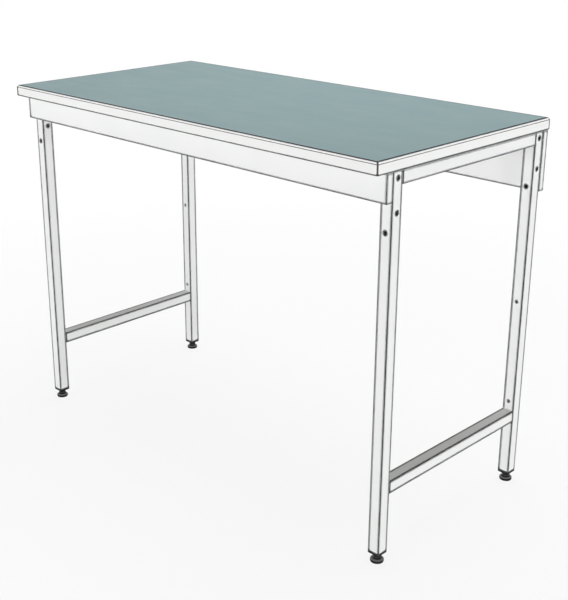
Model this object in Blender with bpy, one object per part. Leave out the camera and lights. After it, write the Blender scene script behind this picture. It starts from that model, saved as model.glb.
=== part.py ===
"""A free-standing laboratory bench with a steel frame, which stands against a wall.

A laminated board with chamfered plastic lipping rests on two side frames of square tube. A front apron
and a taller rear apron of folded sheet, bolted to the legs, tie the side frames together. Each leg stands
on a levelling foot, whose threaded stud screws in and out of a nut in the plug at the end of the tube.

Units are metres and +Z is up. +X runs along the bench and +Y points to the wall. The origin is on the
floor, under the middle of the worktop.
"""

import math

import bmesh
import bpy
from mathutils import Matrix, Vector

# The whole bench
BENCH_WIDTH = 1.200
BENCH_DEPTH = 0.600
BENCH_HEIGHT = 0.900
SEAT_GAP = 0.0003  # left between pieces that touch

# Worktop: laminate over a board over a backing sheet, with lipping all round
WORKTOP_THICKNESS = 0.027
LAMINATE_THICKNESS = 0.0008
BACKING_THICKNESS = 0.0006
LIPPING_THICKNESS = 0.0045
CHAMFER_WIDTH = 0.0040
CHAMFER_DROP = 0.0050

# Square tube of the legs and side rails
LEG_SIDE = 0.030
RAIL_SIDE = 0.030
TUBE_WALL = 0.0015
TUBE_INNER_RADIUS = 0.0005
LOWER_RAIL_TOP = 0.194  # height above the floor

# Aprons of folded sheet
SIDE_OVERHANG = 0.0020  # worktop past the legs and the apron ends
FRONT_OVERHANG = 0.0320  # worktop past the front apron
REAR_OVERHANG = 0.0015  # worktop past the rear apron
APRON_DEPTH = 0.0185
SHEET_THICKNESS = 0.0015
BEND_INNER_RADIUS = 0.0008
APRON_LIP = 0.012
FRONT_APRON_DROP = 0.032  # front apron below the upper rails
REAR_APRON_HEIGHT = 0.140
LEG_TAB_MARGIN = 0.006  # back wall of the front apron past the inside of each leg

# Holes in the legs
JOINING_HOLE_DIAMETER = 0.0080
JOINING_HOLE_DROP = 0.015  # upper hole below the top of the leg
JOINING_HOLE_PITCH = 0.070
PANEL_HOLE_DIAMETER = 0.0045
PANEL_HOLE_RISE = 0.022  # lower hole above the lower rail
PANEL_HOLE_PITCH = 0.255

# Apron bolts and what they screw into
BOLT_DIAMETER = 0.0060
BOLT_HEAD_DIAMETER = 0.0105
BOLT_HEAD_HEIGHT = 0.0033
BOLT_SOCKET_FLATS = 0.0040
BOLT_SOCKET_DEPTH = 0.0020
BOLT_TIP = 0.0020  # bolt past its nut
BOLT_EDGE_DISTANCE = 0.015  # rear apron's edges to its bolts
WELD_NUT_SIDE = 0.010
WELD_NUT_THICKNESS = 0.0050
NUT_STRIP_THICKNESS = 0.0050
NUT_STRIP_SIDE_PLAY = 0.0025
NUT_STRIP_END = 0.011  # strip past each bolt

# Screws that hold the worktop down on the upper rails
SCREW_DIAMETER = 0.0045
SCREW_HEAD_DIAMETER = 0.0085
SCREW_HEAD_HEIGHT = 0.0030
SCREW_BITE = 0.018  # length in the board
SCREW_INSET = 0.080  # from each end of the rail
SCREW_ACCESS_DIAMETER = 0.0120

# Plug in the lower end of each leg, with its nut
PLUG_FLANGE = 0.0050
PLUG_FLANGE_CHAMFER = 0.0016
PLUG_ROOF = 0.0040  # over the nut
PLUG_HOLLOW_DEPTH = 0.013
PLUG_WALL = 0.0020
PLUG_BOSS_WALL = 0.0022
PLUG_WEB = 0.0016
FOOT_NUT_FLATS = 0.0160
FOOT_NUT_HEIGHT = 0.0080
FOOT_NUT_RECESS = 0.0010

# Levelling foot: a pad with a socket, and a stud with a ball end
PAD_DIAMETER = 0.030
PAD_RIM = 0.0065
PAD_EDGE_CHAMFER = 0.0010
PAD_SHOULDER = 0.0020  # rise of the cone from the rim to the collar
PAD_COLLAR_DIAMETER = 0.020
PAD_COLLAR = 0.0040
PAD_FLOOR = 0.0022  # under the ball
BALL_DIAMETER = 0.0100
STUD_NECK_DIAMETER = 0.0062
HEX_FLATS = 0.0170
HEX_HEIGHT = 0.0073
HEX_CHAMFER = 0.0008
STUD_DIAMETER = 0.0098
STUD_TIP_CHAMFER = 0.0010
STUD_TRAVEL = 0.025  # how far the foot screws out
STUD_LEFT_IN = 0.003  # stud past the nut when the foot is screwed out

# Facets of round forms
CORNER_STEPS = 3
BEND_STEPS = 2
DRILL_SIDES = 12
TURNED_SIDES = 20
BALL_STEPS = 4
MERGE_DISTANCE = 1e-6

# Places worked out from the sizes above
frame_top = BENCH_HEIGHT - WORKTOP_THICKNESS - SEAT_GAP
upper_rail_bottom = frame_top - RAIL_SIDE
front_apron_bottom = upper_rail_bottom - FRONT_APRON_DROP
rear_apron_bottom = frame_top - REAR_APRON_HEIGHT
apron_length = BENCH_WIDTH - 2 * SIDE_OVERHANG
front_apron_front = -BENCH_DEPTH / 2 + FRONT_OVERHANG
front_apron_back = front_apron_front + APRON_DEPTH
rear_apron_back = BENCH_DEPTH / 2 - REAR_OVERHANG
rear_apron_front = rear_apron_back - APRON_DEPTH
leg_x = apron_length / 2 - LEG_SIDE / 2
front_leg_y = front_apron_back + SEAT_GAP + LEG_SIDE / 2
rear_leg_y = rear_apron_front - SEAT_GAP - LEG_SIDE / 2
rail_length = rear_leg_y - front_leg_y - LEG_SIDE - 2 * SEAT_GAP
rail_start = front_leg_y + LEG_SIDE / 2 + SEAT_GAP
board_thickness = WORKTOP_THICKNESS - LAMINATE_THICKNESS - BACKING_THICKNESS - 2 * SEAT_GAP
board_bottom = BENCH_HEIGHT - WORKTOP_THICKNESS + BACKING_THICKNESS + SEAT_GAP
bolt_hole_diameter = BOLT_DIAMETER + 2 * SEAT_GAP
front_bolt_height = front_apron_bottom + FRONT_APRON_DROP / 2
rear_bolt_heights = (rear_apron_bottom + BOLT_EDGE_DISTANCE, frame_top - BOLT_EDGE_DISTANCE)
screw_hole_diameter = SCREW_DIAMETER + 2 * SEAT_GAP
screw_places = [
    Vector((side * leg_x, rail_start + along, 0.0))
    for side in (-1, 1)
    for along in (SCREW_INSET, rail_length - SCREW_INSET)
]
pad_height = PAD_RIM + PAD_SHOULDER + PAD_COLLAR
hex_bottom = pad_height + SEAT_GAP
plug_bottom = hex_bottom + HEX_HEIGHT + SEAT_GAP
leg_bottom = plug_bottom + PLUG_FLANGE + SEAT_GAP
nut_bottom = plug_bottom + FOOT_NUT_RECESS
nut_top = nut_bottom + FOOT_NUT_HEIGHT
stud_top = nut_top + STUD_TRAVEL + STUD_LEFT_IN
stud_bore_diameter = STUD_DIAMETER + 2 * SEAT_GAP
LEG_PLACES = {
    "front_left": (-leg_x, front_leg_y),
    "front_right": (leg_x, front_leg_y),
    "rear_left": (-leg_x, rear_leg_y),
    "rear_right": (leg_x, rear_leg_y),
}

# Finishes: colour, roughness and metallic value
FINISHES = {
    "teal_laminate": ((0.305, 0.402, 0.413), 0.55, 0.0),
    "pale_lipping": ((0.860, 0.860, 0.850), 0.45, 0.0),
    "chipboard": ((0.480, 0.340, 0.200), 0.90, 0.0),
    "white_backing": ((0.780, 0.780, 0.770), 0.60, 0.0),
    "pale_powder_coat": ((0.830, 0.835, 0.830), 0.42, 0.0),
    "black_plastic": ((0.018, 0.018, 0.019), 0.50, 0.0),
    "blackened_steel": ((0.060, 0.060, 0.062), 0.45, 0.9),
    "zinc_plate": ((0.620, 0.630, 0.640), 0.35, 1.0),
}


def clear_scene():
    for old in list(bpy.data.objects):
        bpy.data.objects.remove(old, do_unlink=True)


def finish(name):
    """The named material, made on its first use."""
    made = bpy.data.materials.get(name)
    if made is None:
        colour, roughness, metallic = FINISHES[name]
        made = bpy.data.materials.new(name)
        made.use_nodes = True
        shader = made.node_tree.nodes["Principled BSDF"]
        shader.inputs["Base Color"].default_value = (*colour, 1.0)
        shader.inputs["Roughness"].default_value = roughness
        shader.inputs["Metallic"].default_value = metallic
        made.diffuse_color = (*colour, 1.0)
    return made


def anchor(name, place, parent=None):
    """An empty that pieces hang from."""
    empty = bpy.data.objects.new(name, None)
    empty.empty_display_size = 0.05
    empty.location = place
    empty.parent = parent
    bpy.context.scene.collection.objects.link(empty)
    return empty


def piece(name, mesh, material, parent, place=(0.0, 0.0, 0.0), turn=0.0):
    """A sub-part of the bench: the mesh at this place, turned about Z."""
    made = bpy.data.objects.new(name, mesh)
    made.location = place
    made.rotation_euler = (0.0, 0.0, turn)
    made.parent = parent
    if not mesh.materials:
        mesh.materials.append(finish(material))
    bpy.context.scene.collection.objects.link(made)
    return made


def mesh_of(shape, name, rounded=False):
    """Turns a bmesh into a mesh with its faces pointing out, shaded smooth where it is round."""
    bmesh.ops.recalc_face_normals(shape, faces=shape.faces)
    mesh = bpy.data.meshes.new(name)
    shape.to_mesh(mesh)
    shape.free()
    if rounded:
        mesh.shade_smooth()
        mesh.set_sharp_from_angle(angle=math.radians(35))
    return mesh


def boolean(mesh, tool, operation="DIFFERENCE"):
    """The mesh after a Boolean with the tool mesh, both in the same place."""
    helpers = [bpy.data.objects.new(data.name, data) for data in (mesh, tool)]
    for helper in helpers:
        bpy.context.scene.collection.objects.link(helper)
    change = helpers[0].modifiers.new(operation.title(), "BOOLEAN")
    change.operation = operation
    change.object = helpers[1]
    graph = bpy.context.evaluated_depsgraph_get()
    result = bpy.data.meshes.new_from_object(helpers[0].evaluated_get(graph))
    result.name = mesh.name
    for helper in helpers:
        bpy.data.objects.remove(helper, do_unlink=True)
    return result


def add_box(shape, low, high):
    """Adds a box between two corners and returns its vertices."""
    low = Vector(low)
    high = Vector(high)
    place = Matrix.Translation((low + high) / 2) @ Matrix.Diagonal((*(high - low), 1.0))
    return bmesh.ops.create_cube(shape, size=1.0, matrix=place)["verts"]


def add_rod(shape, start, end, diameter, sides=DRILL_SIDES):
    """Adds a round or many-sided rod between two points."""
    start = Vector(start)
    end = Vector(end)
    turn = Vector((0.0, 0.0, 1.0)).rotation_difference(end - start).to_matrix().to_4x4()
    bmesh.ops.create_cone(
        shape,
        cap_ends=True,
        segments=sides,
        radius1=diameter / 2,
        radius2=diameter / 2,
        depth=(end - start).length,
        matrix=Matrix.Translation((start + end) / 2) @ turn,
    )


def hexagon_diameter(flats):
    """Diameter across the corners of a hexagon of this size across its flats."""
    return flats / math.cos(math.pi / 6)


def rounded_square(side, radius):
    """Points round a square with round corners, centred on the origin."""
    points = []
    for quarter in range(4):
        middle = Vector((side / 2 - radius, side / 2 - radius)) @ Matrix.Rotation(-quarter * math.pi / 2, 2)
        for step in range(CORNER_STEPS + 1):
            angle = (quarter + step / CORNER_STEPS) * math.pi / 2
            points.append((middle.x + radius * math.cos(angle), middle.y + radius * math.sin(angle)))
    return points


def add_square_bar(shape, side, radius, bottom, top):
    """Adds a solid bar with round corners along Z."""
    base = shape.faces.new([shape.verts.new((x, y, bottom)) for x, y in rounded_square(side, radius)])
    raised = bmesh.ops.extrude_face_region(shape, geom=[base])["geom"]
    lifted = [item for item in raised if isinstance(item, bmesh.types.BMVert)]
    bmesh.ops.translate(shape, verts=lifted, vec=(0.0, 0.0, top - bottom))


def square_tube(name, side, length):
    """A square tube along +Z from the origin, open at both ends."""
    shape = bmesh.new()
    outlines = []
    for width, radius in (
        (side, TUBE_INNER_RADIUS + TUBE_WALL),
        (side - 2 * TUBE_WALL, TUBE_INNER_RADIUS),
    ):
        outlines.append([shape.verts.new((x, y, 0.0)) for x, y in rounded_square(width, radius)])
    outer, inner = outlines
    rim = []
    for here in range(len(outer)):
        after = (here + 1) % len(outer)
        rim.append(shape.faces.new((outer[here], outer[after], inner[after], inner[here])))
    raised = bmesh.ops.extrude_face_region(shape, geom=rim)["geom"]
    lifted = [item for item in raised if isinstance(item, bmesh.types.BMVert)]
    bmesh.ops.translate(shape, verts=lifted, vec=(0.0, 0.0, length))
    return mesh_of(shape, name)


def turned(name, profile, sides=TURNED_SIDES):
    """A solid turned about Z. The profile is (radius, height) from the axis round to the axis."""
    shape = bmesh.new()
    points = [shape.verts.new((radius, 0.0, height)) for radius, height in profile]
    edges = [shape.edges.new(ends) for ends in zip(points, points[1:])]
    bmesh.ops.spin(
        shape,
        geom=points + edges,
        cent=(0.0, 0.0, 0.0),
        axis=(0.0, 0.0, 1.0),
        angle=2 * math.pi,
        steps=sides,
        use_merge=True,
    )
    bmesh.ops.remove_doubles(shape, verts=shape.verts, dist=MERGE_DISTANCE)
    return mesh_of(shape, name, rounded=True)


def sheet_mesh(name, thickness, screw_hole=0.0):
    """A layer of the worktop inside the lipping, lying on Z = 0, drilled for the screws if asked."""
    shape = bmesh.new()
    half = Vector((BENCH_WIDTH / 2, BENCH_DEPTH / 2)) - Vector((1.0, 1.0)) * (LIPPING_THICKNESS + SEAT_GAP)
    add_box(shape, (-half.x, -half.y, 0.0), (half.x, half.y, thickness))
    mesh = mesh_of(shape, name)
    if not screw_hole:
        return mesh
    drills = bmesh.new()
    for place in screw_places:
        add_rod(
            drills,
            place - Vector((0.0, 0.0, thickness)),
            place + Vector((0.0, 0.0, screw_hole)),
            screw_hole_diameter,
        )
    return boolean(mesh, mesh_of(drills, name + "_drills"))


def make_worktop(bench):
    """Board, laminate and backing, and four mitred lengths of lipping with a chamfered upper edge."""
    bottom = BENCH_HEIGHT - WORKTOP_THICKNESS
    pilot = SCREW_BITE + SEAT_GAP
    laminate_bottom = BENCH_HEIGHT - LAMINATE_THICKNESS
    backing = sheet_mesh("worktop_backing", BACKING_THICKNESS, 2 * BACKING_THICKNESS)
    piece("worktop_backing", backing, "white_backing", bench, (0.0, 0.0, bottom))
    board = sheet_mesh("worktop_board", board_thickness, pilot)
    piece("worktop_board", board, "chipboard", bench, (0.0, 0.0, board_bottom))
    laminate = sheet_mesh("worktop_laminate", LAMINATE_THICKNESS)
    piece("worktop_laminate", laminate, "teal_laminate", bench, (0.0, 0.0, laminate_bottom))
    for name, length, reach, turn in (
        ("lipping_front", BENCH_WIDTH, BENCH_DEPTH / 2, 0.0),
        ("lipping_right", BENCH_DEPTH, BENCH_WIDTH / 2, math.pi / 2),
        ("lipping_rear", BENCH_WIDTH, BENCH_DEPTH / 2, math.pi),
        ("lipping_left", BENCH_DEPTH, BENCH_WIDTH / 2, -math.pi / 2),
    ):
        mesh = lipping_mesh(name, length, reach)
        piece(name, mesh, "pale_lipping", bench, (0.0, 0.0, bottom), turn)


def lipping_mesh(name, length, reach):
    """A length of lipping with its outer face at Y = -reach and both ends mitred."""
    profile = (
        (0.0, 0.0),
        (0.0, WORKTOP_THICKNESS - CHAMFER_DROP),
        (CHAMFER_WIDTH, WORKTOP_THICKNESS),
        (LIPPING_THICKNESS, WORKTOP_THICKNESS),
        (LIPPING_THICKNESS, 0.0),
    )
    mitre_gap = SEAT_GAP / math.sqrt(2)
    shape = bmesh.new()
    ends = []
    for side in (-1, 1):
        ends.append([
            shape.verts.new((side * (length / 2 - depth - mitre_gap), depth - reach, height))
            for depth, height in profile
        ])
    left, right = ends
    shape.faces.new(left)
    shape.faces.new(right)
    for here in range(len(profile)):
        after = (here + 1) % len(profile)
        shape.faces.new((left[here], left[after], right[after], right[here]))
    return mesh_of(shape, name)


def make_legs(bench):
    """Four legs, open at both ends, drilled for the joining bolts, the apron bolts and a side panel."""
    length = frame_top - leg_bottom
    through = LEG_SIDE / 2 + TUBE_WALL
    panel_hole = LOWER_RAIL_TOP + PANEL_HOLE_RISE
    for end, inward in (("front", 1), ("rear", -1)):
        drills = bmesh.new()
        for drop in (JOINING_HOLE_DROP, JOINING_HOLE_DROP + JOINING_HOLE_PITCH):
            height = length - drop
            add_rod(drills, (-through, 0.0, height), (through, 0.0, height), JOINING_HOLE_DIAMETER)
        height = rear_bolt_heights[0] - leg_bottom
        add_rod(drills, (0.0, -through, height), (0.0, through, height), JOINING_HOLE_DIAMETER)
        for rise in (panel_hole, panel_hole + PANEL_HOLE_PITCH):
            height = rise - leg_bottom
            add_rod(drills, (0.0, 0.0, height), (0.0, inward * through, height), PANEL_HOLE_DIAMETER)
        if end == "front":
            height = front_bolt_height - leg_bottom
            add_rod(drills, (0.0, -through, height), (0.0, through, height), bolt_hole_diameter)
        else:
            height = rear_bolt_heights[1] - leg_bottom
            add_rod(drills, (0.0, 0.0, height), (0.0, through, height), JOINING_HOLE_DIAMETER)
        tube = square_tube(end + "_leg", LEG_SIDE, length)
        mesh = boolean(tube, mesh_of(drills, end + "_leg_drills"))
        for hand in ("left", "right"):
            x, y = LEG_PLACES[end + "_" + hand]
            piece("leg_" + end + "_" + hand, mesh, "pale_powder_coat", bench, (x, y, leg_bottom))


def make_side_rails(bench):
    """An upper and a lower rail between the legs of each side frame. Screws pass up through the upper one."""
    along = Matrix.Rotation(-math.pi / 2, 4, "X")
    plain = square_tube("lower_rail", RAIL_SIDE, rail_length)
    plain.transform(along)
    upper = square_tube("upper_rail", RAIL_SIDE, rail_length)
    upper.transform(along)
    drills = bmesh.new()
    for place in (SCREW_INSET, rail_length - SCREW_INSET):
        for top, diameter in ((RAIL_SIDE, screw_hole_diameter), (0.0, SCREW_ACCESS_DIAMETER)):
            add_rod(drills, (0.0, place, -RAIL_SIDE), (0.0, place, top), diameter)
    upper = boolean(upper, mesh_of(drills, "upper_rail_drills"))
    for hand, x in (("left", -leg_x), ("right", leg_x)):
        height = frame_top - RAIL_SIDE / 2
        piece("upper_rail_" + hand, upper, "pale_powder_coat", bench, (x, rail_start, height))
        height = LOWER_RAIL_TOP - RAIL_SIDE / 2
        piece("lower_rail_" + hand, plain, "pale_powder_coat", bench, (x, rail_start, height))


def folded_pan(name, height, end_margin):
    """Sheet folded into a long shallow pan, with its web at Y = 0 and a lipped opening towards +Y.

    The pan stands on Z = 0. The opening in its back stops short of each end by the end margin.
    """
    half = apron_length / 2
    bend = BEND_INNER_RADIUS + SHEET_THICKNESS
    shell = bmesh.new()
    add_box(shell, (-half, 0.0, 0.0), (half, APRON_DEPTH, height))
    bevel_along_x(shell, bend)
    hollow = bmesh.new()
    add_box(
        hollow,
        (SHEET_THICKNESS - half, SHEET_THICKNESS, SHEET_THICKNESS),
        (half - SHEET_THICKNESS, APRON_DEPTH - SHEET_THICKNESS, height - SHEET_THICKNESS),
    )
    bevel_along_x(hollow, BEND_INNER_RADIUS)
    opening = bmesh.new()
    add_box(
        opening,
        (end_margin - half, APRON_DEPTH / 2, APRON_LIP),
        (half - end_margin, APRON_DEPTH + SHEET_THICKNESS, height - APRON_LIP),
    )
    mesh = boolean(mesh_of(shell, name), mesh_of(hollow, name + "_hollow"))
    return boolean(mesh, mesh_of(opening, name + "_opening"))


def bevel_along_x(shape, radius):
    """Rounds the four long edges of a box, as a fold does."""
    edges = [edge for edge in shape.edges if abs((edge.verts[0].co - edge.verts[1].co).x) > MERGE_DISTANCE]
    bmesh.ops.bevel(shape, geom=edges, offset=radius, segments=BEND_STEPS, profile=0.5, affect="EDGES")


def make_aprons(bench):
    """The front apron closes on the legs with a tab. The rear apron opens to the wall."""
    height = frame_top - front_apron_bottom
    front = folded_pan("front_apron", height, LEG_SIDE + LEG_TAB_MARGIN)
    drills = bmesh.new()
    for x in (-leg_x, leg_x):
        bolt = Vector((x, 0.0, front_bolt_height - front_apron_bottom))
        reach = Vector((0.0, APRON_DEPTH, 0.0))
        add_rod(drills, bolt + reach / 2, bolt + 2 * reach, bolt_hole_diameter)
    front = boolean(front, mesh_of(drills, "front_apron_drills"))
    piece("front_apron", front, "pale_powder_coat", bench, (0.0, front_apron_front, front_apron_bottom))
    rear = folded_pan("rear_apron", REAR_APRON_HEIGHT, APRON_LIP)
    drills = bmesh.new()
    for x in (-leg_x, leg_x):
        for bolt_height in rear_bolt_heights:
            bolt = Vector((x, 0.0, bolt_height - rear_apron_bottom))
            reach = Vector((0.0, APRON_DEPTH / 2, 0.0))
            add_rod(drills, bolt - reach, bolt + reach, bolt_hole_diameter)
    rear = boolean(rear, mesh_of(drills, "rear_apron_drills"))
    piece("rear_apron", rear, "pale_powder_coat", bench, (0.0, rear_apron_front, rear_apron_bottom))


def bolt_mesh(name, length):
    """A button-head bolt pointing to -Y, with the seat of its head at Y = 0 and a hexagon socket."""
    radius = BOLT_HEAD_DIAMETER / 2
    crown = BOLT_SOCKET_FLATS / math.sqrt(3) + BOLT_TIP / 4
    dome = [
        (crown + (radius - crown) * math.cos(angle), BOLT_HEAD_HEIGHT * math.sin(angle))
        for angle in (0.0, math.pi / 6, math.pi / 3, math.pi / 2)
    ]
    profile = [(0.0, BOLT_HEAD_HEIGHT), *reversed(dome), (BOLT_DIAMETER / 2, 0.0)]
    profile += [(BOLT_DIAMETER / 2, -length), (0.0, -length)]
    mesh = turned(name, profile, DRILL_SIDES)
    socket = bmesh.new()
    floor = (0.0, 0.0, BOLT_HEAD_HEIGHT - BOLT_SOCKET_DEPTH)
    mouth = (0.0, 0.0, BOLT_HEAD_HEIGHT + BOLT_SOCKET_DEPTH)
    add_rod(socket, floor, mouth, hexagon_diameter(BOLT_SOCKET_FLATS), 6)
    mesh = boolean(mesh, mesh_of(socket, name + "_socket"))
    mesh.transform(Matrix.Rotation(-math.pi / 2, 4, "X"))
    return mesh


def make_front_bolts(bench):
    """Bolts from behind the front legs into nuts welded inside the front apron's tabs."""
    seat = front_leg_y + LEG_SIDE / 2 + SEAT_GAP
    nut_back = front_apron_back - SHEET_THICKNESS - SEAT_GAP
    nut_front = nut_back - WELD_NUT_THICKNESS
    bolt = bolt_mesh("front_apron_bolt", seat - nut_front + BOLT_TIP)
    blank = bmesh.new()
    half = WELD_NUT_SIDE / 2
    add_box(blank, (-half, -WELD_NUT_THICKNESS, -half), (half, 0.0, half))
    bore = bmesh.new()
    reach = Vector((0.0, WELD_NUT_THICKNESS, 0.0))
    add_rod(bore, -2 * reach, reach, bolt_hole_diameter)
    nut = boolean(mesh_of(blank, "weld_nut"), mesh_of(bore, "weld_nut_bore"))
    for hand, x in (("left", -leg_x), ("right", leg_x)):
        piece("front_apron_bolt_" + hand, bolt, "zinc_plate", bench, (x, seat, front_bolt_height))
        piece("front_apron_nut_" + hand, nut, "zinc_plate", bench, (x, nut_back, front_bolt_height))


def make_rear_bolts(bench):
    """Bolts from inside the rear apron into a threaded strip in each rear leg."""
    seat = rear_apron_front + SHEET_THICKNESS + SEAT_GAP
    strip_back = rear_leg_y + LEG_SIDE / 2 - TUBE_WALL - SEAT_GAP
    strip_front = strip_back - NUT_STRIP_THICKNESS
    bolt = bolt_mesh("rear_apron_bolt", seat - strip_front + BOLT_TIP)
    lowest, highest = rear_bolt_heights
    half = LEG_SIDE / 2 - TUBE_WALL - NUT_STRIP_SIDE_PLAY
    blank = bmesh.new()
    top = highest - lowest + NUT_STRIP_END
    add_box(blank, (-half, -NUT_STRIP_THICKNESS, -NUT_STRIP_END), (half, 0.0, top))
    bores = bmesh.new()
    reach = Vector((0.0, NUT_STRIP_THICKNESS, 0.0))
    for height in rear_bolt_heights:
        centre = Vector((0.0, 0.0, height - lowest))
        add_rod(bores, centre - 2 * reach, centre + reach, bolt_hole_diameter)
    strip = boolean(mesh_of(blank, "nut_strip"), mesh_of(bores, "nut_strip_bores"))
    for hand, x in (("left", -leg_x), ("right", leg_x)):
        piece("nut_strip_" + hand, strip, "zinc_plate", bench, (x, strip_back, lowest))
        for row, height in (("lower", lowest), ("upper", highest)):
            name = "rear_apron_bolt_" + hand + "_" + row
            piece(name, bolt, "zinc_plate", bench, (x, seat, height))


def make_worktop_screws(bench):
    """Pan-head screws inside the upper rails, up into the board."""
    seat = frame_top - TUBE_WALL - SEAT_GAP
    length = board_bottom + SCREW_BITE - SEAT_GAP - seat
    point = SCREW_DIAMETER
    profile = [
        (0.0, length),
        (SCREW_DIAMETER / 2, length - point),
        (SCREW_DIAMETER / 2, 0.0),
        (SCREW_HEAD_DIAMETER / 2, 0.0),
        (SCREW_HEAD_DIAMETER / 2, -SCREW_HEAD_HEIGHT / 2),
        (SCREW_HEAD_DIAMETER / 3, -SCREW_HEAD_HEIGHT),
        (0.0, -SCREW_HEAD_HEIGHT),
    ]
    mesh = turned("worktop_screw", profile, DRILL_SIDES)
    names = ("left_front", "left_rear", "right_front", "right_rear")
    for name, place in zip(names, screw_places):
        piece("worktop_screw_" + name, mesh, "zinc_plate", bench, (place.x, place.y, seat))


def plug_mesh():
    """The moulded plug of a leg, with the floor at Z = 0: flange, sleeve, hollow top and nut pocket."""
    sleeve_side = LEG_SIDE - 2 * TUBE_WALL - 2 * SEAT_GAP
    hollow_bottom = nut_top + SEAT_GAP + PLUG_ROOF
    sleeve_top = hollow_bottom + PLUG_HOLLOW_DEPTH
    hollow_side = sleeve_side - 2 * PLUG_WALL
    flange = bmesh.new()
    add_square_bar(flange, LEG_SIDE, TUBE_INNER_RADIUS + TUBE_WALL, plug_bottom, plug_bottom + PLUG_FLANGE)
    lower_rim = [
        edge for edge in flange.edges
        if all(abs(vertex.co.z - plug_bottom) < MERGE_DISTANCE for vertex in edge.verts)
    ]
    bmesh.ops.bevel(flange, geom=lower_rim, offset=PLUG_FLANGE_CHAMFER, segments=1, affect="EDGES")
    sleeve = bmesh.new()
    add_square_bar(sleeve, sleeve_side, TUBE_INNER_RADIUS, plug_bottom + PLUG_FLANGE / 2, sleeve_top)
    mesh = boolean(mesh_of(flange, "leg_plug"), mesh_of(sleeve, "leg_plug_sleeve"), "UNION")
    hollow = bmesh.new()
    add_square_bar(hollow, hollow_side, TUBE_INNER_RADIUS, hollow_bottom, sleeve_top + PLUG_ROOF)
    kept = bmesh.new()
    boss = stud_bore_diameter + 2 * PLUG_BOSS_WALL
    add_rod(kept, (0.0, 0.0, plug_bottom), (0.0, 0.0, sleeve_top + 2 * PLUG_ROOF), boss)
    hollow_mesh = boolean(mesh_of(hollow, "leg_plug_hollow"), mesh_of(kept, "leg_plug_boss"))
    for reach in (Vector((1.0, 0.0)), Vector((0.0, 1.0))):
        web = bmesh.new()
        corner = reach * sleeve_side + Vector((1.0, 1.0)) * PLUG_WEB / 2
        add_box(web, (-corner.x, -corner.y, plug_bottom), (corner.x, corner.y, sleeve_top + 2 * PLUG_ROOF))
        hollow_mesh = boolean(hollow_mesh, mesh_of(web, "leg_plug_web"))
    mesh = boolean(mesh, hollow_mesh)
    pocket = bmesh.new()
    pocket_size = hexagon_diameter(FOOT_NUT_FLATS + 2 * SEAT_GAP)
    add_rod(pocket, (0.0, 0.0, 0.0), (0.0, 0.0, nut_top + SEAT_GAP), pocket_size, 6)
    mesh = boolean(mesh, mesh_of(pocket, "leg_plug_pocket"))
    bore = bmesh.new()
    add_rod(bore, (0.0, 0.0, 0.0), (0.0, 0.0, sleeve_top + PLUG_ROOF), stud_bore_diameter, TURNED_SIDES)
    return boolean(mesh, mesh_of(bore, "leg_plug_bore"))


def foot_nut_mesh():
    """The hexagon nut that sits in the plug's pocket."""
    blank = bmesh.new()
    add_rod(blank, (0.0, 0.0, nut_bottom), (0.0, 0.0, nut_top), hexagon_diameter(FOOT_NUT_FLATS), 6)
    bore = bmesh.new()
    add_rod(bore, (0.0, 0.0, 0.0), (0.0, 0.0, 2 * nut_top), stud_bore_diameter, TURNED_SIDES)
    return boolean(mesh_of(blank, "foot_nut"), mesh_of(bore, "foot_nut_bore"))


def ball_centre():
    return PAD_FLOOR + SEAT_GAP + BALL_DIAMETER / 2


def ball_profile(radius, neck_radius):
    """Points of a ball from its lowest point up to where a neck of this radius meets it."""
    last = math.pi - math.asin(neck_radius / radius)
    angles = [last * step / BALL_STEPS for step in range(BALL_STEPS + 1)]
    return [(radius * math.sin(angle), ball_centre() - radius * math.cos(angle)) for angle in angles]


def pad_mesh():
    """The round pad, with a socket that closes over the ball of the stud."""
    rim = PAD_DIAMETER / 2
    collar = PAD_COLLAR_DIAMETER / 2
    mouth = STUD_NECK_DIAMETER / 2 + SEAT_GAP
    socket = ball_profile(BALL_DIAMETER / 2 + SEAT_GAP, mouth)
    profile = [
        (0.0, 0.0),
        (rim - PAD_EDGE_CHAMFER, 0.0),
        (rim, PAD_EDGE_CHAMFER),
        (rim, PAD_RIM - PAD_EDGE_CHAMFER),
        (rim - PAD_EDGE_CHAMFER, PAD_RIM),
        (collar, PAD_RIM + PAD_SHOULDER),
        (collar, pad_height - PAD_EDGE_CHAMFER),
        (collar - PAD_EDGE_CHAMFER, pad_height),
        (mouth, pad_height),
        *reversed(socket),
    ]
    return turned("foot_pad", profile)


def stud_mesh():
    """The stud: ball, neck, hexagon for a spanner and the threaded length above it."""
    neck = STUD_NECK_DIAMETER / 2
    rod = STUD_DIAMETER / 2
    profile = [
        *ball_profile(BALL_DIAMETER / 2, neck),
        (neck, hex_bottom + HEX_HEIGHT / 2),
        (rod, hex_bottom + HEX_HEIGHT / 2),
        (rod, stud_top - STUD_TIP_CHAMFER),
        (rod - STUD_TIP_CHAMFER, stud_top),
        (0.0, stud_top),
    ]
    mesh = turned("foot_stud", profile)
    hexagon = bmesh.new()
    hex_top = hex_bottom + HEX_HEIGHT
    add_rod(hexagon, (0.0, 0.0, hex_bottom), (0.0, 0.0, hex_top), hexagon_diameter(HEX_FLATS), 6)
    rims = [edge for edge in hexagon.edges if abs((edge.verts[0].co - edge.verts[1].co).z) < MERGE_DISTANCE]
    bmesh.ops.bevel(hexagon, geom=rims, offset=HEX_CHAMFER, segments=1, affect="EDGES")
    return boolean(mesh, mesh_of(hexagon, "foot_stud_hexagon"), "UNION")


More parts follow.
